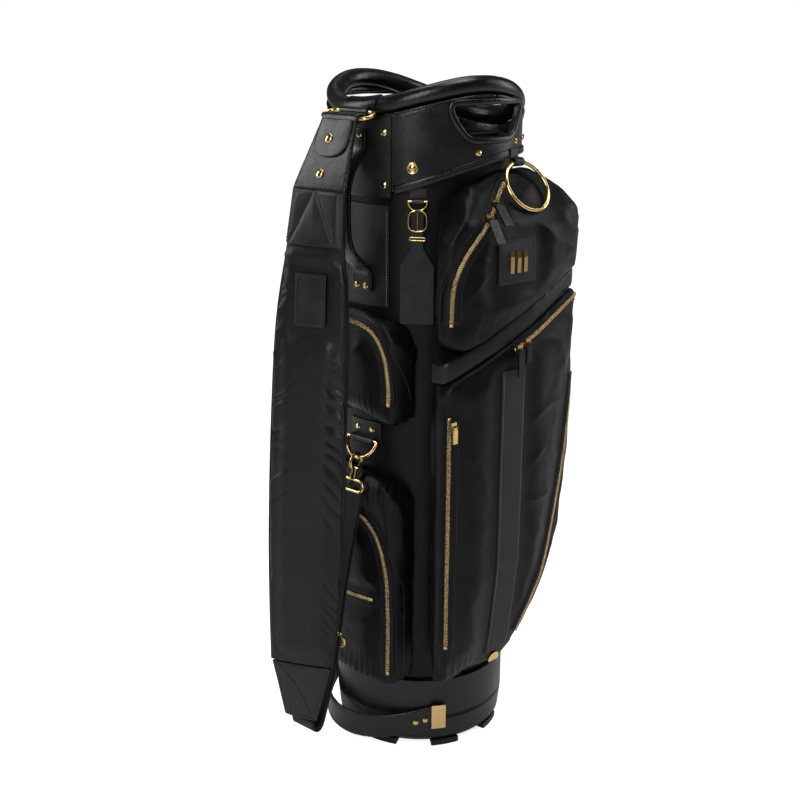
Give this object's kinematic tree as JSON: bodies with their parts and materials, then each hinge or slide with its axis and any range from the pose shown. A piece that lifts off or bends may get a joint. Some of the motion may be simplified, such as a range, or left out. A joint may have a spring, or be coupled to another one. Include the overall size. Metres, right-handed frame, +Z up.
{
  "type": "golf bag",
  "caption": "Standing cart golf bag with stiff tube, waved padded collar, zipped pockets, padded shoulder strap, towel ring, name tag and base belt.",
  "frame": {"origin": "centre of the base on the ground, on the tube's own axis, in the face of the central foot", "axes": "+Z up the tube's axis; -Y out through the large front pockets; -X towards the spine side with the grab handle and shoulder strap (the spine's own centre line is turned 8 degrees from -X towards the front)"},
  "size_m": [0.3812, 0.2991, 0.8725],
  "materials": {
    "boot_plastic": "moulded, fine grain, matt",
    "tube_plastic": "smooth, matt",
    "floor_foam": "short fleece over foam",
    "stay_metal": "drawn rod",
    "divider_plastic": "moulded frame, padded",
    "divider_cloth": "thin lining cloth",
    "body_nylon": "fine plain weave, slight sheen",
    "band_satin": "satin with a soft sheen",
    "collar_leather": "smooth synthetic leather, semi-gloss",
    "patch_leather": "fine pebble grain",
    "strap_nylon": "padded, fine weave, slight sheen",
    "webbing": "flat webbing",
    "strip_leather": "split leather, dry matt",
    "hardware_gold": "pale gold plating, polished",
    "zip_gold": "pale gold teeth"
  },
  "bodies": {
    "bag": {"base_boot": "boot_plastic", "base_feet": "boot_plastic", "body_tube": "tube_plastic", "body_skin": "body_nylon", "floor_pad": "floor_foam", "stay_rods": "stay_metal", "divider_top": "divider_plastic", "divider_panels": "divider_cloth", "collar_shell": "collar_leather", "rim_roll": "collar_leather", "collar_trim": "collar_leather", "collar_studs": "hardware_gold", "spine_patches": "patch_leather", "strap_anchor": "patch_leather", "grab_handle": "patch_leather", "rivets": "hardware_gold", "front_pocket_lower": "body_nylon", "front_pocket_upper": "body_nylon", "front_band": "band_satin", "front_strip": "strip_leather", "front_badges": "hardware_gold", "emblem_patch": "patch_leather", "zips_front_lower": "zip_gold", "zip_upper": "zip_gold", "side_pocket_lower": "body_nylon", "side_pocket_upper": "body_nylon", "zip_side_upper": "zip_gold", "zips_side_lower": "zip_gold", "far_pocket": "body_nylon", "zip_far": "zip_gold", "back_loop": "patch_leather", "belt_handle": "patch_leather", "belt_clasps": "hardware_gold", "d_ring_tab": "patch_leather", "d_ring": "hardware_gold", "towel_tab": "patch_leather", "tag_tab": "patch_leather", "tag_ring": "hardware_gold", "sliders_fixed": "hardware_gold"},
    "strap_ring": {"strap_ring": "hardware_gold"},
    "strap": {"strap_leather_top": "patch_leather", "strap_trapezes": "patch_leather", "strap_pad": "strap_nylon", "strap_label": "patch_leather", "strap_web": "webbing", "strap_metal": "hardware_gold"},
    "hook": {"hook_body": "hardware_gold"},
    "hook_gate": {"hook_gate": "hardware_gold"},
    "towel_ring": {"towel_ring": "hardware_gold"},
    "name_tag": {"tag_leather": "patch_leather", "tag_metal": "hardware_gold"},
    "slider_left": {"slider_left": "hardware_gold"},
    "pull_top_left": {"pull_top_left": "patch_leather"},
    "pull_top_right": {"pull_top_right": "patch_leather"},
    "pull_upper_left": {"pull_upper_left": "patch_leather"},
    "pull_upper_right": {"pull_upper_right": "patch_leather"},
    "pull_side_upper": {"pull_side_upper": "hardware_gold"},
    "pull_side_lower": {"pull_side_lower": "hardware_gold"},
    "pull_left": {"pull_left": "hardware_gold"}
  },
  "joints": [
    {"name": "strap_ring_lift", "type": "hinge", "parent": "bag", "child": "strap_ring", "pos_m": [-0.12636, -0.01776, 0.831], "axis": [-0.1392, 0.9903, 0], "range_deg": [0, 50]},
    {"name": "strap_swing", "type": "hinge", "parent": "strap_ring", "child": "strap", "pos_m": [-0.14708, -0.02067, 0.8242], "axis": [-0.1392, 0.9903, 0], "range_deg": [0, 75]},
    {"name": "hook_swivel", "type": "hinge", "parent": "strap", "child": "hook", "pos_m": [-0.13115, -0.01843, 0.38598], "axis": [0.2895, 0.0407, 0.9563], "range_deg": [-20, 20]},
    {"name": "hook_gate_open", "type": "hinge", "parent": "hook", "child": "hook_gate", "pos_m": [-0.1254, -0.01762, 0.39106], "axis": [0.1392, -0.9903, 0], "range_deg": [0, 25], "stiffness_Nm_per_rad": 0.01, "springref_deg": -17.19},
    {"name": "towel_ring_lift", "type": "hinge", "parent": "bag", "child": "towel_ring", "pos_m": [0.04104, -0.11986, 0.771], "axis": [-1, 0, 0], "range_deg": [0, 90]},
    {"name": "name_tag_lift", "type": "hinge", "parent": "bag", "child": "name_tag", "pos_m": [-0.08301, -0.08016, 0.719], "axis": [-0.6947, 0.7193, 0], "range_deg": [0, 100]},
    {"name": "pull_top_left_lift", "type": "hinge", "parent": "bag", "child": "pull_top_left", "pos_m": [0.004, -0.17184, 0.55503], "axis": [-1, 0, 0], "range_deg": [0, 100]},
    {"name": "pull_top_right_lift", "type": "hinge", "parent": "bag", "child": "pull_top_right", "pos_m": [0.018, -0.17166, 0.56095], "axis": [-1, 0, 0], "range_deg": [0, 100]},
    {"name": "pull_upper_left_lift", "type": "hinge", "parent": "bag", "child": "pull_upper_left", "pos_m": [-0.04, -0.16006, 0.71566], "axis": [-1, 0, 0], "range_deg": [0, 100]},
    {"name": "pull_upper_right_lift", "type": "hinge", "parent": "bag", "child": "pull_upper_right", "pos_m": [-0.02, -0.14874, 0.73054], "axis": [-1, 0, 0], "range_deg": [0, 100]},
    {"name": "pull_side_upper_lift", "type": "hinge", "parent": "bag", "child": "pull_side_upper", "pos_m": [-0.13304, 0.01, 0.58466], "axis": [0, 1, 0], "range_deg": [0, 100]},
    {"name": "pull_side_lower_lift", "type": "hinge", "parent": "bag", "child": "pull_side_lower", "pos_m": [-0.13586, 0.02, 0.338], "axis": [0, 1, 0], "range_deg": [0, 100]},
    {"name": "slider_left_run", "type": "slide", "parent": "bag", "child": "slider_left", "axis": [0, 0, -1], "range_m": [0, 0.25]},
    {"name": "pull_left_lift", "type": "hinge", "parent": "slider_left", "child": "pull_left", "pos_m": [-0.092, -0.1603, 0.474], "axis": [-1, 0, 0], "range_deg": [0, 100]}
  ]
}
